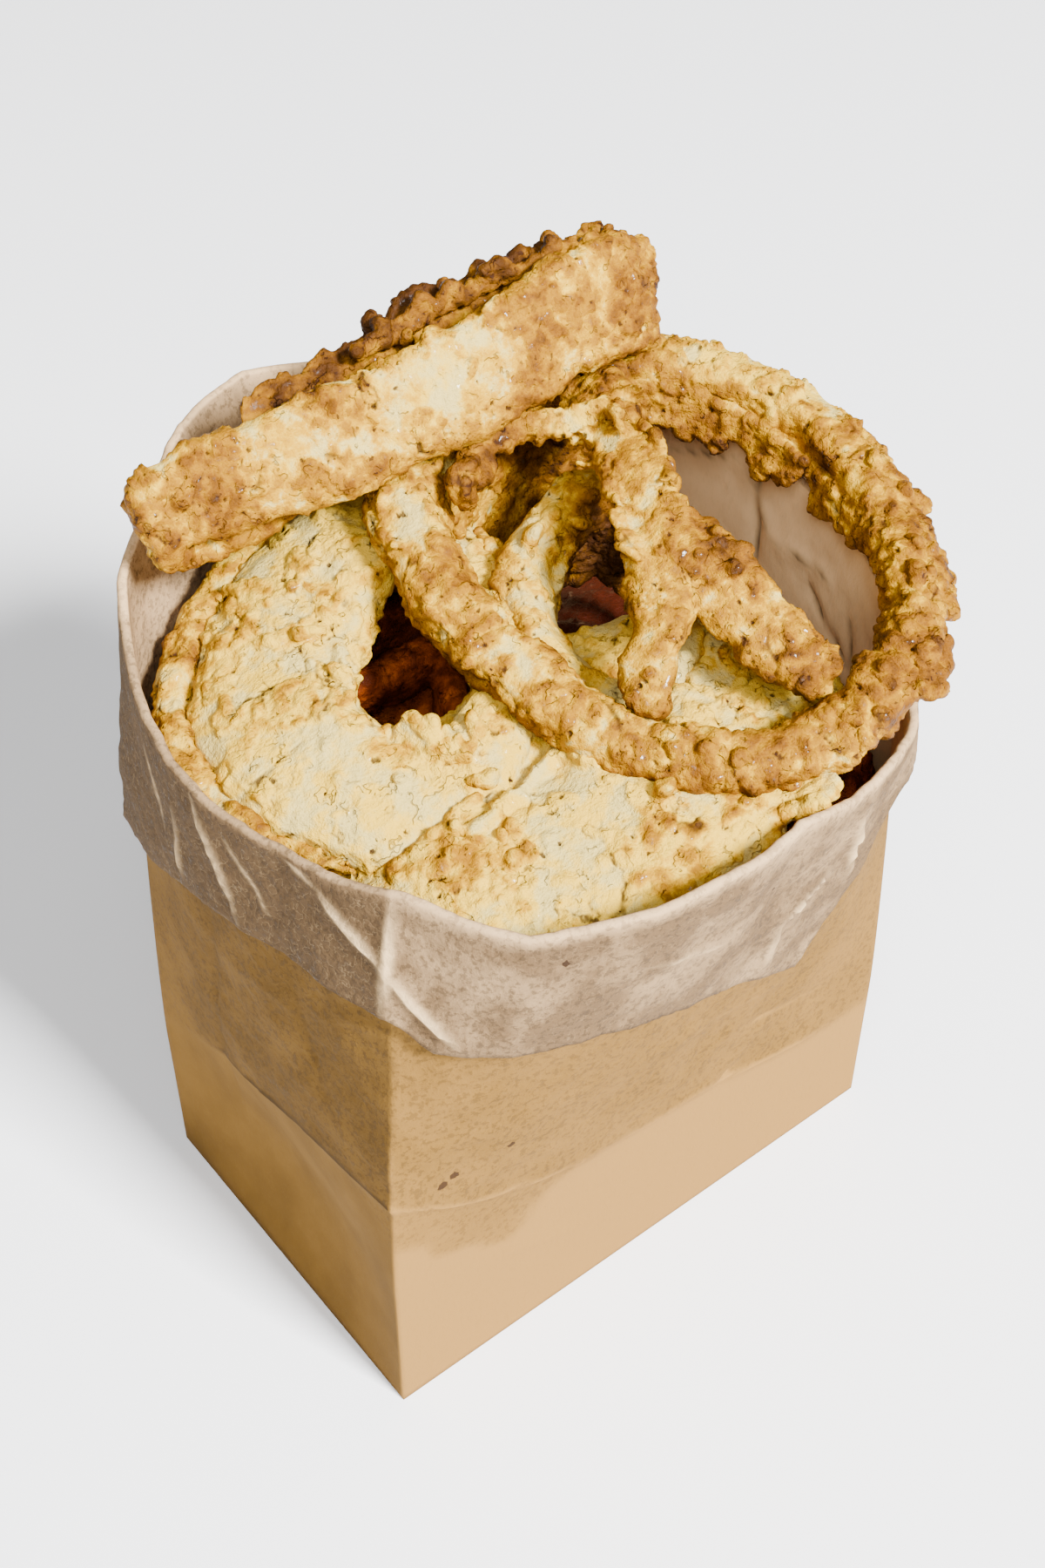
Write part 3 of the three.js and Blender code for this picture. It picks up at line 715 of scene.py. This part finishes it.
def bag_places(paper):
    """Round the base from the corner at -X -Y anticlockwise: place, angle, side and share of it."""
    half = np.array([paper.base_length, paper.base_width]) / 2 / MM
    corners = np.array([(-1, -1), (1, -1), (1, 1), (-1, 1)]) * half
    places = []
    for side, corner in enumerate(corners):
        following = corners[(side + 1) % 4]
        start, end = (math.degrees(math.atan2(y, x)) for x, y in (corner, following))
        share = np.linspace(0, 1, SHORT_SIDE_STEPS if side % 2 else LONG_SIDE_STEPS, endpoint=False)
        base = corner + (following - corner) * share[:, None]
        angle = start + (end - start) % 360 * share
        places.append(np.column_stack([base, angle, np.full(len(share), side), share]))
    return np.concatenate(places)


def wall_points(places, height, out):
    """Points of the smooth wall's outer face, moved out by out."""
    base, angle, side, share = places[:, :2], places[:, 2], places[:, 3], places[:, 4]
    rise = np.clip((height - BLOCK_HEIGHT) / (around(RIM, 2, angle) - BLOCK_HEIGHT), 0, 1)
    way = np.column_stack([np.cos(np.radians(angle)), np.sin(np.radians(angle))])
    top = way * around(RIM, 1, angle)[:, None]
    points = base + (top - base) * (rise**ROUNDING)[:, None]
    level = np.exp(-2 * (height / SIDE_DENT_HEIGHT - 1) ** 2) * np.minimum(1, height / FLAT_FOOT)
    points[:, 0] += np.where(side == LEFT_SIDE, SIDE_DENT * np.sin(np.pi * share) * level, 0)
    points *= (1 + out / np.linalg.norm(points, axis=1))[:, None]
    return np.column_stack([points, height])


def crease_marks(angle, height, creases):
    """How far creases lift the paper, and how near the sharpest one is, from 0 to 1."""
    lift = np.zeros(len(angle))
    nearest = np.zeros(len(angle))
    for (angle_a, height_a), (angle_b, height_b), depth, width in creases:
        turn = (angle - angle_a + 180) % 360 - 180
        sweep = (angle_b - angle_a + 180) % 360 - 180
        spot = np.column_stack([np.radians(turn) * ARM, height - height_a])
        line = np.array([math.radians(sweep) * ARM, height_b - height_a])
        share = np.clip(spot @ line / (line @ line), 0, 1)
        away = np.linalg.norm(spot - line * share[:, None], axis=1)
        fading = 1 - CREASE_FADING * np.abs(2 * share - 1) ** 2
        lift += depth * np.exp(-away / width) * fading
        nearest = np.maximum(nearest, np.exp(-away / SHARPNESS) * fading * min(1.0, abs(depth)))
    return lift, nearest


def paper_relief(points, on_cuff, crumple, left_side):
    """How far the paper stands out, and how creased, soiled, crinkled and specked it is there.

    The soiling of the left side is partly painted shade. Dark crease marks are painted shade, and
    pale ones are partly wear and partly a painted highlight.
    """
    angle = np.degrees(np.arctan2(points[:, 1], points[:, 0]))
    height = points[:, 2]
    fold = around(FLAT_FOLD, 1, angle)
    lift, crease = crease_marks(angle, height, CUFF_CREASES if on_cuff else WALL_CREASES)
    kept = 1.0
    if not on_cuff:
        kept -= sum(np.exp(-(((angle - corner) / reach) ** 2)) for corner, reach in SMOOTH_CORNERS)
    above = ease(fold - 1, fold + 1.5, height) * kept
    drop = RUN_DROP * np.exp(-(((angle - RUN_ANGLE) / RUN_REACH) ** 2))
    drop *= 1 + 0.5 * ripple(points, 9, 4)
    soiled = ease(fold - 3 - drop, fold + 1.5 - drop, height)
    crinkled = SOILED * np.maximum(above, UNDER_FOLD * soiled)
    # The left side is painted darker, partly as grease and partly as painted shade.
    handled = np.where(left_side, LEFT_SOILED_AND_SHADED + LEFT_ABOVE * above, crinkled)
    facets = cells(warp(points, 30, 4, 5), FACET[0], 1)[0] - 0.5
    wrinkles = cells(warp(points, 9, 2, 9), WRINKLE[0], 2)[0] - 0.45
    fine = ripples(points, FINE[0], 3)
    foot = ease(0, CRUMPLED_FROM, height)
    crumples = FACET[1] * facets + WRINKLE[1] * wrinkles + FINE[1] * fine
    lift += crumples * crumple * above * foot
    step = FOLD_STEP * ease(fold - 1, fold + 2, height)
    lift += kept * (step + FOLD_RIDGE * np.exp(-np.abs(height - fold)) * foot)
    if not on_cuff:
        # On the inner face and the left side, creases are painted dark as shade. Elsewhere they are pale,
        # partly wear and partly painted highlight, and so is the flat fold's line below.
        crease *= np.where(height > HIDDEN_FROM, -1, np.where(left_side, LEFT_CREASES, 1))
        mark = np.where(left_side, LEFT_FOLD_MARK, FOLD_MARK)
        crease += kept * mark * np.exp(-np.abs(height - fold) / SHARPNESS)
    speck = np.zeros(len(points))
    for spot_angle, spot_height, size in CUFF_SPECKS if on_cuff else WALL_SPECKS:
        turn = np.radians((angle - spot_angle + 180) % 360 - 180) * ARM
        centre = points[np.argmin(np.hypot(turn, height - spot_height))]
        speck = np.maximum(speck, ease(size, 0, np.linalg.norm(points - centre, axis=1)))
    return lift, crease, handled, crinkled, speck


def plain_sheet(around_base):
    """A tube of paper with so many vertices round it, and each vertex's place and row in it."""
    bm = bmesh.new()
    which = bm.verts.layers.int.new("place")
    level = bm.verts.layers.int.new("row")
    bmesh.ops.create_circle(bm, segments=around_base, radius=1)
    for i, vert in enumerate(bm.verts):
        vert[which] = i
    edges = list(bm.edges)
    for row in range(1, WALL_STEPS + CREST_STEPS + CUFF_STEPS + 2):
        made = bmesh.ops.extrude_edge_only(bm, edges=edges)["geom"]
        for vert in made:
            if isinstance(vert, bmesh.types.BMVert):
                vert[level] = row
        edges = [edge for edge in made if isinstance(edge, bmesh.types.BMEdge)]
        edges = [edge for edge in edges if all(vert[level] == row for vert in edge.verts)]
    sheet = new_object("paper_bag", bm)
    layers = sheet.data.attributes
    number = np.empty((2, len(sheet.data.vertices)), dtype=np.int32)
    for line, name in zip(number, ("place", "row")):
        layers[name].data.foreach_get("value", line)
        layers.remove(layers[name])
    return sheet, *number


def paper_bag(paper):
    """One sheet up the wall, over the rim and down the cuff, with its thickness on the inside."""
    places = bag_places(paper)
    sheet, place, row = plain_sheet(len(places))
    mesh = sheet.data
    spot = places[place]
    angle = spot[:, 2]
    crest_row = row - WALL_STEPS
    cuff_row = crest_row - CREST_STEPS - 1
    under_crest = around(RIM, 2, angle) - CREST_DROP
    over = np.clip(crest_row / (CREST_STEPS + 1), 0, 1)
    down = np.clip(cuff_row / CUFF_STEPS, 0, 1)
    fold = around(FLAT_FOLD, 1, angle)
    height = fold * np.clip(row / FOLD_ROW, 0, 1) + FOLD_GAP / 2 * np.sin(np.pi * over)
    height += (under_crest - fold) * np.clip((row - FOLD_ROW) / (WALL_STEPS - FOLD_ROW), 0, 1)
    height += (around(CUFF_EDGE, 1, angle) - under_crest) * down
    out = FOLD_GAP / 2 * (1 - np.cos(np.pi * over)) + CUFF_FLARE * down

    points = wall_points(spot, height, 0)
    left_side = spot[:, 3] == LEFT_SIDE
    crumple = paper.crumple / MM
    lift, crease, handled, crinkled, speck = paper_relief(points, False, crumple, left_side)
    on_cuff = paper_relief(points, True, crumple, left_side)
    cuff_lift, cuff_crease, cuff_soiling_and_shade, _, cuff_speck = on_cuff
    side_length = np.where(spot[:, 3] % 2, paper.base_width, paper.base_length) / MM
    to_corner = np.minimum(spot[:, 4], 1 - spot[:, 4]) * side_length
    # The upright corners get a pale line, partly wear and partly painted highlight.
    crease += CORNER_MARK * np.exp(-to_corner / SHARPNESS) * ease(*CORNER_FADING, height)
    lift += (np.maximum(cuff_lift, lift) - lift) * ease(0, CUFF_START, down)
    mesh.vertices.foreach_set("co", (wall_points(spot, height, out + lift) * MM).ravel())
    write_attribute(mesh, "crease", np.where(cuff_row > 0, cuff_crease, crease))
    write_attribute(mesh, "handled", handled)
    write_attribute(mesh, "crinkled", crinkled)
    # The inner face is painted darker towards the left, as painted shade. The crest and cuff take their
    # soiling, which is also painted shade on the left side.
    wear_and_painted_light = INSIDE_SHADE * ease(*INSIDE_FADING, points[:, 0])
    cuff_soiling_and_painted_light = cuff_soiling_and_shade * (CUFF_CREST + CUFF_MORE * ease(-2, 3, cuff_row))
    write_attribute(mesh, "folded", np.where(crest_row > 0, cuff_soiling_and_painted_light, wear_and_painted_light))
    write_attribute(mesh, "speck", np.where(cuff_row > 0, cuff_speck, speck))
    mesh.update()

    outwards = mesh.polygons[0].normal.dot(mesh.polygons[0].center) > 0
    if not outwards:
        mesh.flip_normals()
    wall = sheet.modifiers.new("thickness", "SOLIDIFY")
    wall.thickness = paper.thickness
    wall.offset = -1
    wall.material_offset = 1
    wall.material_offset_rim = 1
    return sheet


def bag_bottom(paper):
    """The block bottom: a floor and the two flaps that are glued over it."""
    bm = bmesh.new()
    for low, high, reach, side in BOTTOM_PLIES:
        size = Matrix.Diagonal((paper.base_length, paper.base_width * reach, (high - low) * MM, 1))
        shift = side * (reach - 1) * paper.base_width / 2
        place = Matrix.Translation((0, shift, (low + high) / 2 * MM))
        bmesh.ops.create_cube(bm, size=1, matrix=place @ size)
    bmesh.ops.scale(bm, vec=(BOTTOM_INSET, BOTTOM_INSET, 1), verts=bm.verts)
    return new_object("bag_bottom", bm)


# ------------------------------------------------------------------ the fried batter

MOST_FACES = 92000  # squares, so that a ring stays under 200,000 triangles
FACES_TO_A_CELL = 1.9  # with the crumbs
RING_ROUNDS, HEAP_ROUNDS, CRUMB_ROUNDS = 8, 5, 1  # of smoothing, after a skin is fused
EDGE_ROUNDS, FORM_ROUNDS = 18, 24  # of smoothing, to find the edges and what stands out
LEAST_CRUMB, CRUMB_RANGE = 0.5, 1.1
FLAKES = 0.6  # the share of crumbs that are flat
CLUSTER_SPREAD = 2.6
FRILL_STEP = 0.7
FRILL_ROOT = 2.0  # how deep a frill sits in its ring
# Sizes of the crust's features.
BROAD, PATCH, LUMP, CRUMB, BUBBLE, PIT = 15, 7, 4.4, 2.1, 1.8, 3.4


def smooth_copy(node, name, cell, rounds):
    """A closed and evenly divided copy of a CAD ring, with its facets smoothed away."""
    bm = bmesh.new()
    bm.from_mesh(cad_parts[node].data)
    bmesh.ops.remove_doubles(bm, verts=bm.verts, dist=0.01 * MM)
    for layer in list(bm.loops.layers.uv):
        bm.loops.layers.uv.remove(layer)
    piece = new_object(name, bm)
    fuse(piece, cell, rounds)
    return piece


def relaxed(piece, rounds):
    modifier = piece.modifiers.new("relax", "SMOOTH")
    modifier.factor = 0.5
    modifier.iterations = rounds


def fuse(piece, cell, rounds):
    """Makes one closed skin round everything in the piece, and smooths it."""
    remesh = piece.modifiers.new("fuse", "REMESH")
    remesh.mode = "VOXEL"
    remesh.voxel_size = cell
    relaxed(piece, rounds)
    apply_modifiers(piece)


def bulges(piece, rounds):
    """For each vertex, how far it stands out from the much smoothed form, in millimetres."""
    relaxed(piece, rounds)
    smooth = with_modifiers(piece)
    away = read(piece.data.vertices, "co") - read(smooth.vertices, "co")
    bpy.data.meshes.remove(smooth)
    return (away * read(piece.data.vertex_normals, "vector")).sum(axis=1) / MM


def add_crumb(bm, draw, place, normal, size):
    """One uneven lump or flake of batter that sits in the surface at a place."""
    made = bmesh.ops.create_icosphere(bm, subdivisions=2, radius=1)["verts"]
    bends = [(Vector([draw.gauss(0, 1) for _ in range(3)]), draw.uniform(0.1, 0.25)) for _ in range(4)]
    for vert in made:
        vert.co *= 1 + sum(depth * math.sin(2.6 * vert.co.dot(way)) for way, depth in bends)
    flake = draw.random() < FLAKES
    height = draw.uniform(0.3, 0.45) if flake else draw.uniform(0.45, 0.75)
    flat = Matrix.Diagonal((draw.uniform(0.8, 1.6), draw.uniform(0.7, 1.2), height, 1))
    lean = Vector([draw.gauss(0, 1.0 if flake else 0.4) for _ in range(3)])
    seat = (normal + lean).to_track_quat("Z", "Y").to_matrix().to_4x4()
    turn = Matrix.Rotation(draw.uniform(0, math.tau), 4, "Z")
    move = Matrix.Translation(place + normal * size * draw.uniform(-0.2, 0.2))
    scale = Matrix.Scale(size * (1.4 if flake else 1), 4)
    bmesh.ops.transform(bm, matrix=move @ seat @ turn @ scale @ flat, verts=made)


def add_frill(bm, draw, path, way, height, torn, curl, thickness):
    """A thin torn strip of batter that grows the given way from a line of points."""
    path = np.array(path, dtype=float)
    way = np.array(way) / np.linalg.norm(way)
    along = np.concatenate([[0], np.cumsum(np.linalg.norm(np.diff(path, axis=0), axis=1))])
    steps = int(along[-1] / FRILL_STEP)
    rows = max(4, int(height / FRILL_STEP))
    grid = bmesh.ops.create_grid(bm, x_segments=steps, y_segments=rows, size=1)["verts"]
    flat = np.array([vert.co for vert in grid])
    length, rise = (flat[:, 0] + 1) / 2 * along[-1], (flat[:, 1] + 1) / 2
    places = np.column_stack([np.interp(length, along, path[:, i]) for i in range(3)])
    side = np.cross(way, (path[-1] - path[0]) / np.linalg.norm(path[-1] - path[0]))
    salt = draw.randint(0, 9999)
    line = np.column_stack([length, length * 0, length * 0])
    teeth = ripple(line, 8, salt) * 1.5 + ripple(line, 3.1, salt + 1) * 1.5
    teeth += ripple(line, 1.3, salt + 3) * 0.4
    ends = np.minimum(1, np.minimum(length, along[-1] - length) / (0.25 * height + 1))
    reach = height * rise * (1 - torn * np.clip(0.45 + teeth, 0, 1)) * ends - FRILL_ROOT * (1 - rise)
    fold = ripple(np.column_stack([length, height * rise, length * 0]), 3.5, salt + 2)
    sway = (curl * rise**2 * height * 0.35 + fold * 1.4 * rise**0.5) * ends
    places += way * reach[:, None] + side * sway[:, None]
    for vert, place in zip(grid, places):
        vert.co = Vector(place) * MM
    bm.normal_update()
    faces = list(dict.fromkeys(face for vert in grid for face in vert.link_faces))
    bmesh.ops.solidify(bm, geom=faces, thickness=thickness * MM)


def add_crumbs(piece, look, cell):
    """Groups of crumbs on the edges and in patches, and torn frills, fused into the ring."""
    draw = random.Random(look["seed"])
    places = read(piece.data.vertices, "co")
    patch = ripple(places / MM, 9, look["seed"])
    weights = 0.02 + np.maximum(0, bulges(piece, EDGE_ROUNDS)) * 2 + np.maximum(0, patch) * 0.2
    picked = draw.choices(range(len(places)), weights, k=look["clusters"])
    seats = [(Vector(places[i]), CLUSTER_SPREAD, draw.randint(3, 8)) for i in picked]
    for centre, radius, _, _, crumbs in look["spots"]:
        seats.append((Vector(centre) * MM, radius * 0.6, crumbs))
    bm = bmesh.new()
    bm.from_mesh(piece.data)
    skin = BVHTree.FromBMesh(bm)
    bm.free()
    bm = bmesh.new()
    for centre, spread, crumbs in seats:
        for _ in range(crumbs):
            away = Vector([draw.gauss(0, spread * MM) for _ in range(3)])
            place, normal, _, _ = skin.find_nearest(centre + away)
            size = (LEAST_CRUMB + CRUMB_RANGE * draw.random() ** 2) * MM
            add_crumb(bm, draw, place, normal, size)
    for frill in look["frills"]:
        add_frill(bm, draw, *frill)
    bm.from_mesh(piece.data)
    bm.to_mesh(piece.data)
    bm.free()
    fuse(piece, cell, CRUMB_ROUNDS)


def crust_relief(points, normals, standing, look, settings):
    """Height of the crust in millimetres at its points, and how brown, how thin and how marked with
    dark pores and cracks it is. The brownness and the dark marks also carry painted shade, in
    hollows and where the crust faces down.

    standing is how far each point stands out from the much smoothed form.
    """
    seed = look["seed"] * 20
    rough = np.full(len(points), look["rough"])
    toasted_and_shaded = np.full(len(points), look["toasted_and_shaded"])
    for centre, radius, browner_and_shaded, rougher, _ in look["spots"]:
        near = np.exp(-((points - centre) ** 2).sum(axis=1) / radius**2)
        toasted_and_shaded += browner_and_shaded * near
        rough += rougher * near
    warped = warp(points, 5, 1.5, seed)
    broad = ripple(points, BROAD, seed + 3)
    # thicker batter lies in patches over the thin skin, with a groove along their edges
    patchy = ripples(warped, PATCH, seed + 4) + (rough - 0.42) * 1.1 + 0.25 * broad
    patch = ease(-0.12, 0.14, patchy)
    edge = np.exp(-np.abs(patchy) / 0.05) * ease(-0.05, 0.25, ripple(points, 5, seed + 8))
    lumps = np.abs(ripple(warped, LUMP, seed + 9))
    crumbs = np.abs(ripple(warped, CRUMB, seed + 10))
    seam = np.exp(-crumbs / 0.08) * ease(0.0, 0.35, ripple(points, 6, seed + 13))
    crack = np.exp(-np.abs(ripple(warp(points, 2.5, 0.7, seed + 14), 6.5, seed + 15)) / 0.05)
    crack *= ease(0.0, 0.3, ripple(points, 8, seed + 16))
    bubble, kind = domes(warped, BUBBLE, seed, 0.6)
    bubble *= ease(0.4, 0.75, kind) * ease(-0.2, 0.2, ripple(points, 7, seed + 12) + rough - 0.6)
    pit, which = domes(points, PIT, seed + 5, 0.15)
    pit *= which > 0.45
    height = 0.7 * broad + 0.45 * patch + patch * (1.1 * lumps + 1.0 * crumbs - 0.35)
    height += (1 - patch) * 0.4 * lumps - 0.4 * edge - 0.35 * crack - 0.8 * pit
    calm = np.clip(1.2 - 1.3 * np.maximum(0, standing), 0.15, 1)  # on what is thin or sharp
    height = (height * settings.lumps + bubble * settings.blisters) / MM * calm
    browned = toasted_and_shaded + 0.28 * (patch - 0.5) + 0.6 * patch * (lumps - 0.2) + 0.4 * broad
    browned += 0.45 * ripple(warped, 3, seed + 17) * ease(0.1, 0.6, rough)
    # The last term paints places that face down or sideways browner: painted shade.
    browned += 0.32 * bubble * (kind - 0.5) + 0.16 * (1 - normals[:, 2])
    # edges brown most, and hollows are painted browner as shade
    browned += 0.25 * ease(0.15, 0.7, standing) + 0.6 * ease(0.5, 1.5, standing)
    browned += 1.1 * np.maximum(0, -standing - 0.1)
    # Pits, seams, cracks and the grooves along patch edges are marked dark: partly the batter's own
    # cracks and pores, partly painted shade in these hollows.
    pore = np.clip(pit * 2 + 0.75 * seam * patch + 0.8 * edge + 0.8 * crack, 0, 1)
    return height, browned, 1 - patch, pore


def batter(piece, look, settings):
    """Moves the piece's surface by the crust's relief and writes its marks."""
    mesh = piece.data
    places = read(mesh.vertices, "co")
    normals = read(mesh.vertex_normals, "vector")
    standing = bulges(piece, FORM_ROUNDS)
    height, browned, thin, pore = crust_relief(places / MM, normals, standing, look, settings)
    places += normals * (height * MM)[:, None]
    mesh.vertices.foreach_set("co", places.ravel())
    for name, values in (("browned", browned), ("thin", thin), ("pore", pore)):
        write_attribute(mesh, name, values)
    mesh.update()


# ------------------------------------------------------------------ operators


class RINGS_OT_paper_bag(bpy.types.Operator):
    """Make the kraft paper bag with its folded-down cuff and block bottom"""

    bl_idname = "rings.paper_bag"
    bl_label = "Paper Bag"

    def execute(self, context):
        paper = context.scene.rings_paper
        outside = paper_finish(
            "kraft_outside", tuple(paper.outside), GREASE_AND_SHADE_OUTSIDE, "handled", "crinkled"
        )
        inside = paper_finish("kraft_inside", tuple(paper.inside), GREASE_AND_SHADE_INSIDE, "folded", "folded")
        bag = paper_bag(paper)
        finish_piece(bag, [outside, inside], "kraft_paper", "bag")
        bottom = bag_bottom(paper)
        finish_piece(bottom, [outside], "kraft_paper")
        bottom.data.polygons.foreach_set("use_smooth", [False] * len(bottom.data.polygons))
        return {"FINISHED"}


class RINGS_OT_onion_rings(bpy.types.Operator):
    """Make the battered rings that lie on top"""

    bl_idname = "rings.onion_rings"
    bl_label = "Onion Rings"

    def execute(self, context):
        settings = context.scene.rings_crust
        finish = crust_finish("fried_batter", settings)
        for node, look in RINGS.items():
            skin = sum(face.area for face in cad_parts[node].data.polygons)
            cell = max(settings.cell, math.sqrt(FACES_TO_A_CELL * skin / MOST_FACES))
            piece = smooth_copy(node, "crust_" + node, cell, RING_ROUNDS)
            add_crumbs(piece, look, cell)
            batter(piece, look, settings)
            finish_piece(piece, [finish], "batter", node)
        return {"FINISHED"}


class RINGS_OT_heap(bpy.types.Operator):
    """Make the rings lower down in the bag"""

    bl_idname = "rings.heap"
    bl_label = "Lower Rings"

    def execute(self, context):
        settings = context.scene.rings_crust
        finish = crust_finish("fried_batter_deep", settings, HEAP_TINT)
        piece = smooth_copy("heap", "crust_heap", settings.heap_cell, HEAP_ROUNDS)
        batter(piece, HEAP, settings)
        finish_piece(piece, [finish], "batter_deep", "heap")
        return {"FINISHED"}


FLOOR_SIZE = 4
FLOOR_ROUGHNESS = 0.6
SKY_COLOUR = (0.93, 0.95, 1.0, 1)
# The lamps, as (place, width). They are in metres, and all of them aim at the same place.
LAMPS = {
    "key": (Vector((0.35, -2.05, 2.0)), 0.6),
    "top": (Vector((-0.45, -0.5, 2.1)), 1.4),
    "fill": (Vector((-1.25, -1.35, 1.95)), 1.2),
}
AIM = Vector((0, 0, 0.09))
CAMERA_PLACE = Vector((-164.41, -208.04, 360.63)) * MM
CAMERA_LENS = 49.39
CAMERA_NEAR = 0.01
CAMERA_PITCH = 45
CAMERA_YAW = -38.33


class RINGS_OT_stage(bpy.types.Operator):
    """Make the floor, the lights and the camera"""

    bl_idname = "rings.stage"
    bl_label = "Stage"

    def execute(self, context):
        look = context.scene.rings_stage
        bm = bmesh.new()
        bmesh.ops.create_grid(bm, x_segments=1, y_segments=1, size=FLOOR_SIZE)
        floor = new_object("floor", bm)
        finish = Finish("floor_finish", Base_Color=(*look.floor, 1), Roughness=FLOOR_ROUGHNESS)
        floor.data.materials.append(finish.material)

        world = bpy.data.worlds.new("studio")
        world.use_nodes = True
        sky = world.node_tree.nodes["Background"].inputs
        sky["Color"].default_value = SKY_COLOUR
        sky["Strength"].default_value = look.sky
        context.scene.world = world

        for name, (place, width) in LAMPS.items():
            lamp = bpy.data.lights.new(name, "AREA")
            lamp.size = width
            lamp.energy = getattr(look, name)
            thing = bpy.data.objects.new(name, lamp)
            thing.location = place
            thing.rotation_euler = (place - AIM).to_track_quat("Z", "Y").to_euler()
            context.scene.collection.objects.link(thing)

        camera = bpy.data.objects.new("camera", bpy.data.cameras.new("camera"))
        camera.data.lens = CAMERA_LENS
        camera.data.clip_start = CAMERA_NEAR
        camera.location = CAMERA_PLACE
        camera.rotation_euler = (math.radians(CAMERA_PITCH), 0, math.radians(CAMERA_YAW))
        context.scene.collection.objects.link(camera)
        context.scene.camera = camera
        return {"FINISHED"}


class RINGS_PT_panel(bpy.types.Panel):
    """Buttons for every part of the onion rings side"""

    bl_idname = "RINGS_PT_panel"
    bl_label = "Onion Rings Side"
    bl_space_type = "VIEW_3D"
    bl_region_type = "UI"
    bl_category = "Onion Rings"

    def draw(self, context):
        for settings in ("rings_paper", "rings_crust", "rings_stage"):
            group = getattr(context.scene, settings)
            box = self.layout.box()
            for name in group.__annotations__:
                box.prop(group, name)
        for operator in OPERATORS:
            self.layout.operator(operator.bl_idname)


GROUPS = {"rings_paper": PaperSettings, "rings_crust": CrustSettings, "rings_stage": StageSettings}
OPERATORS = (RINGS_OT_stage, RINGS_OT_paper_bag, RINGS_OT_onion_rings, RINGS_OT_heap)


def register():
    for made in (*GROUPS.values(), *OPERATORS, RINGS_PT_panel):
        bpy.utils.register_class(made)
    for name, group in GROUPS.items():
        setattr(bpy.types.Scene, name, PointerProperty(type=group))


def unregister():
    for name in GROUPS:
        delattr(bpy.types.Scene, name)
    for made in (RINGS_PT_panel, *reversed(OPERATORS), *reversed(GROUPS.values())):
        bpy.utils.unregister_class(made)


def main():
    register()
    bpy.ops.rings.stage()
    bpy.ops.rings.paper_bag()
    bpy.ops.rings.onion_rings()
    bpy.ops.rings.heap()


if __name__ == "__main__":
    main()
